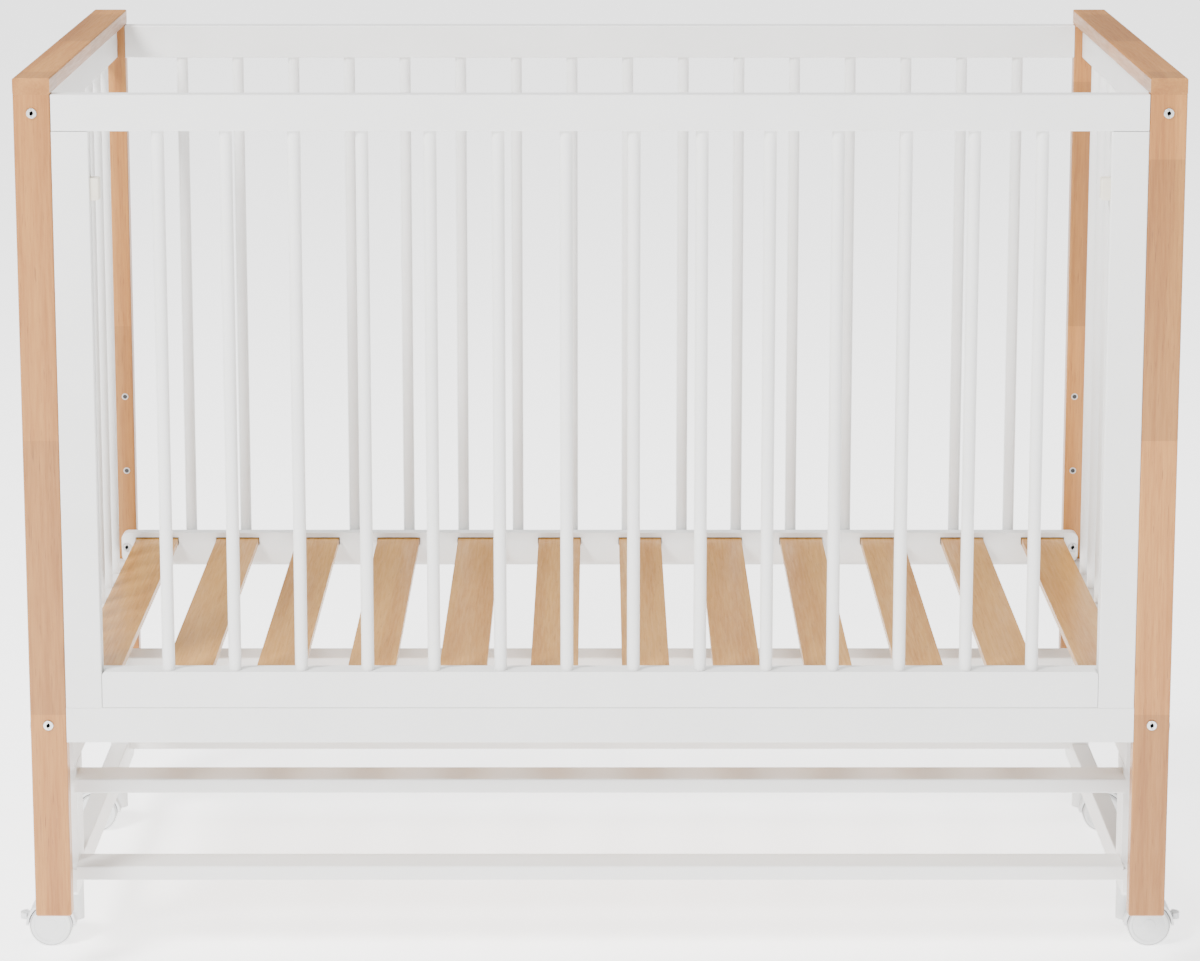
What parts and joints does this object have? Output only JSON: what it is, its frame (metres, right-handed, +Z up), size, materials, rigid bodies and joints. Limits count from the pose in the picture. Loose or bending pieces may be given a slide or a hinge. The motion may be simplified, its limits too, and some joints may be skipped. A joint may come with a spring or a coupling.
{
  "type": "crib",
  "caption": "Pendulum crib: a slatted crib body that swings on four short links from a wheeled base frame, with a front gate that slides up and a slatted mattress base.",
  "frame": {"origin": "on the floor at the middle of the footprint", "axes": "+X along the crib, -Y towards its front, +Z up"},
  "size_m": [1.334, 0.647, 1.018],
  "materials": {
    "beech": "clear satin lacquer",
    "white_wood": "white satin paint",
    "birch_ply": "clear lacquer",
    "steel": "zinc plated",
    "caster_plastic": "moulded",
    "latch_plastic": "moulded"
  },
  "bodies": {
    "base": {"foot_rail_left": "white_wood", "base_top_beam_left": "white_wood", "foot_rail_right": "white_wood", "base_top_beam_right": "white_wood", "base_uprights": "white_wood", "base_upper_rail_front": "white_wood", "base_upper_rail_back": "white_wood", "base_lower_rail_front": "white_wood", "base_lower_rail_back": "white_wood", "base_bolts": "steel", "upper_pivots": "steel", "caster_stems": "steel"},
    "crib": {"post_front_left": "beech", "post_front_right": "beech", "post_back_left": "beech", "post_back_right": "beech", "cap_left": "beech", "end_top_rail_left": "white_wood", "end_lower_rail_left": "white_wood", "end_spindles_left": "white_wood", "cap_right": "beech", "end_top_rail_right": "white_wood", "end_lower_rail_right": "white_wood", "end_spindles_right": "white_wood", "front_lower_rail": "white_wood", "back_top_rail": "white_wood", "back_bottom_rail": "white_wood", "back_spindles": "white_wood", "stile_left": "white_wood", "stile_right": "white_wood", "mattress_rail_front": "white_wood", "mattress_rail_back": "white_wood", "mattress_slats": "birch_ply", "body_bolts": "steel", "latch_pins": "steel", "latch_springs": "steel", "hanger_plates": "steel"},
    "gate": {"gate_top_rail": "white_wood", "gate_bottom_rail": "white_wood", "gate_spindles": "white_wood"},
    "latch_left": {"latch_left": "latch_plastic"},
    "latch_right": {"latch_right": "latch_plastic"},
    "link_front_left": {"link_front_left": "steel"},
    "link_front_right": {"link_front_right": "steel"},
    "link_back_left": {"link_back_left": "steel"},
    "link_back_right": {"link_back_right": "steel"},
    "caster_front_left": {"caster_hood_front_left": "caster_plastic"},
    "wheels_front_left": {"caster_wheels_front_left": "caster_plastic"},
    "brake_front_left": {"caster_brake_front_left": "caster_plastic"},
    "caster_front_right": {"caster_hood_front_right": "caster_plastic"},
    "wheels_front_right": {"caster_wheels_front_right": "caster_plastic"},
    "brake_front_right": {"caster_brake_front_right": "caster_plastic"},
    "caster_back_left": {"caster_hood_back_left": "caster_plastic"},
    "wheels_back_left": {"caster_wheels_back_left": "caster_plastic"},
    "brake_back_left": {"caster_brake_back_left": "caster_plastic"},
    "caster_back_right": {"caster_hood_back_right": "caster_plastic"},
    "wheels_back_right": {"caster_wheels_back_right": "caster_plastic"},
    "brake_back_right": {"caster_brake_back_right": "caster_plastic"}
  },
  "joints": [
    {"name": "swing_front_left", "type": "hinge", "parent": "base", "child": "link_front_left", "pos_m": [-0.616, -0.217, 0.244], "axis": [1, 0, 0], "range_deg": [-24, 24]},
    {"name": "swing_front_right", "type": "hinge", "parent": "base", "child": "link_front_right", "pos_m": [0.616, -0.217, 0.244], "axis": [1, 0, 0], "range_deg": [-24, 24]},
    {"name": "swing_back_left", "type": "hinge", "parent": "base", "child": "link_back_left", "pos_m": [-0.616, 0.217, 0.244], "axis": [1, 0, 0], "range_deg": [-24, 24]},
    {"name": "swing_back_right", "type": "hinge", "parent": "base", "child": "link_back_right", "pos_m": [0.616, 0.217, 0.244], "axis": [1, 0, 0], "range_deg": [-24, 24]},
    {"name": "crib_hang", "type": "hinge", "parent": "link_front_left", "child": "crib", "pos_m": [-0.616, -0.217, 0.154], "axis": [1, 0, 0], "range_deg": [-24, 24]},
    {"name": "gate_slide", "type": "slide", "parent": "crib", "child": "gate", "axis": [0, 0, 1], "range_m": [0, 0.525]},
    {"name": "latch_press_left", "type": "slide", "parent": "crib", "child": "latch_left", "axis": [-1, 0, 0], "range_m": [0, 0.014], "stiffness_N_per_m": 300, "springref_m": -0.006, "deforming": ["latch_springs"]},
    {"name": "latch_press_right", "type": "slide", "parent": "crib", "child": "latch_right", "axis": [1, 0, 0], "range_m": [0, 0.014], "stiffness_N_per_m": 300, "springref_m": -0.006, "deforming": ["latch_springs"]},
    {"name": "swivel_front_left", "type": "hinge", "parent": "base", "child": "caster_front_left", "pos_m": [-0.6025, -0.195, 0.06], "axis": [0, 0, 1], "continuous": true},
    {"name": "roll_front_left", "type": "hinge", "parent": "caster_front_left", "child": "wheels_front_left", "pos_m": [-0.6295, -0.195, 0.0245], "axis": [0, 1, 0], "continuous": true},
    {"name": "brake_press_front_left", "type": "hinge", "parent": "caster_front_left", "child": "brake_front_left", "pos_m": [-0.6485, -0.195, 0.0305], "axis": [0, -1, 0], "range_deg": [0, 12]},
    {"name": "swivel_front_right", "type": "hinge", "parent": "base", "child": "caster_front_right", "pos_m": [0.6025, -0.195, 0.06], "axis": [0, 0, 1], "continuous": true},
    {"name": "roll_front_right", "type": "hinge", "parent": "caster_front_right", "child": "wheels_front_right", "pos_m": [0.6295, -0.195, 0.0245], "axis": [0, 1, 0], "continuous": true},
    {"name": "brake_press_front_right", "type": "hinge", "parent": "caster_front_right", "child": "brake_front_right", "pos_m": [0.6485, -0.195, 0.0305], "axis": [0, 1, 0], "range_deg": [0, 12]},
    {"name": "swivel_back_left", "type": "hinge", "parent": "base", "child": "caster_back_left", "pos_m": [-0.6025, 0.195, 0.06], "axis": [0, 0, 1], "continuous": true},
    {"name": "roll_back_left", "type": "hinge", "parent": "caster_back_left", "child": "wheels_back_left", "pos_m": [-0.6295, 0.195, 0.0245], "axis": [0, 1, 0], "continuous": true},
    {"name": "brake_press_back_left", "type": "hinge", "parent": "caster_back_left", "child": "brake_back_left", "pos_m": [-0.6485, 0.195, 0.0305], "axis": [0, -1, 0], "range_deg": [0, 12]},
    {"name": "swivel_back_right", "type": "hinge", "parent": "base", "child": "caster_back_right", "pos_m": [0.6025, 0.195, 0.06], "axis": [0, 0, 1], "continuous": true},
    {"name": "roll_back_right", "type": "hinge", "parent": "caster_back_right", "child": "wheels_back_right", "pos_m": [0.6295, 0.195, 0.0245], "axis": [0, 1, 0], "continuous": true},
    {"name": "brake_press_back_right", "type": "hinge", "parent": "caster_back_right", "child": "brake_back_right", "pos_m": [0.6485, 0.195, 0.0305], "axis": [0, 1, 0], "range_deg": [0, 12]}
  ],
  "couplings": [
    {"joint": "swing_front_right", "follows": "swing_front_left", "ratio": 1},
    {"joint": "swing_back_left", "follows": "swing_front_left", "ratio": 1},
    {"joint": "swing_back_right", "follows": "swing_front_left", "ratio": 1},
    {"joint": "crib_hang", "follows": "swing_front_left", "ratio": -1}
  ]
}
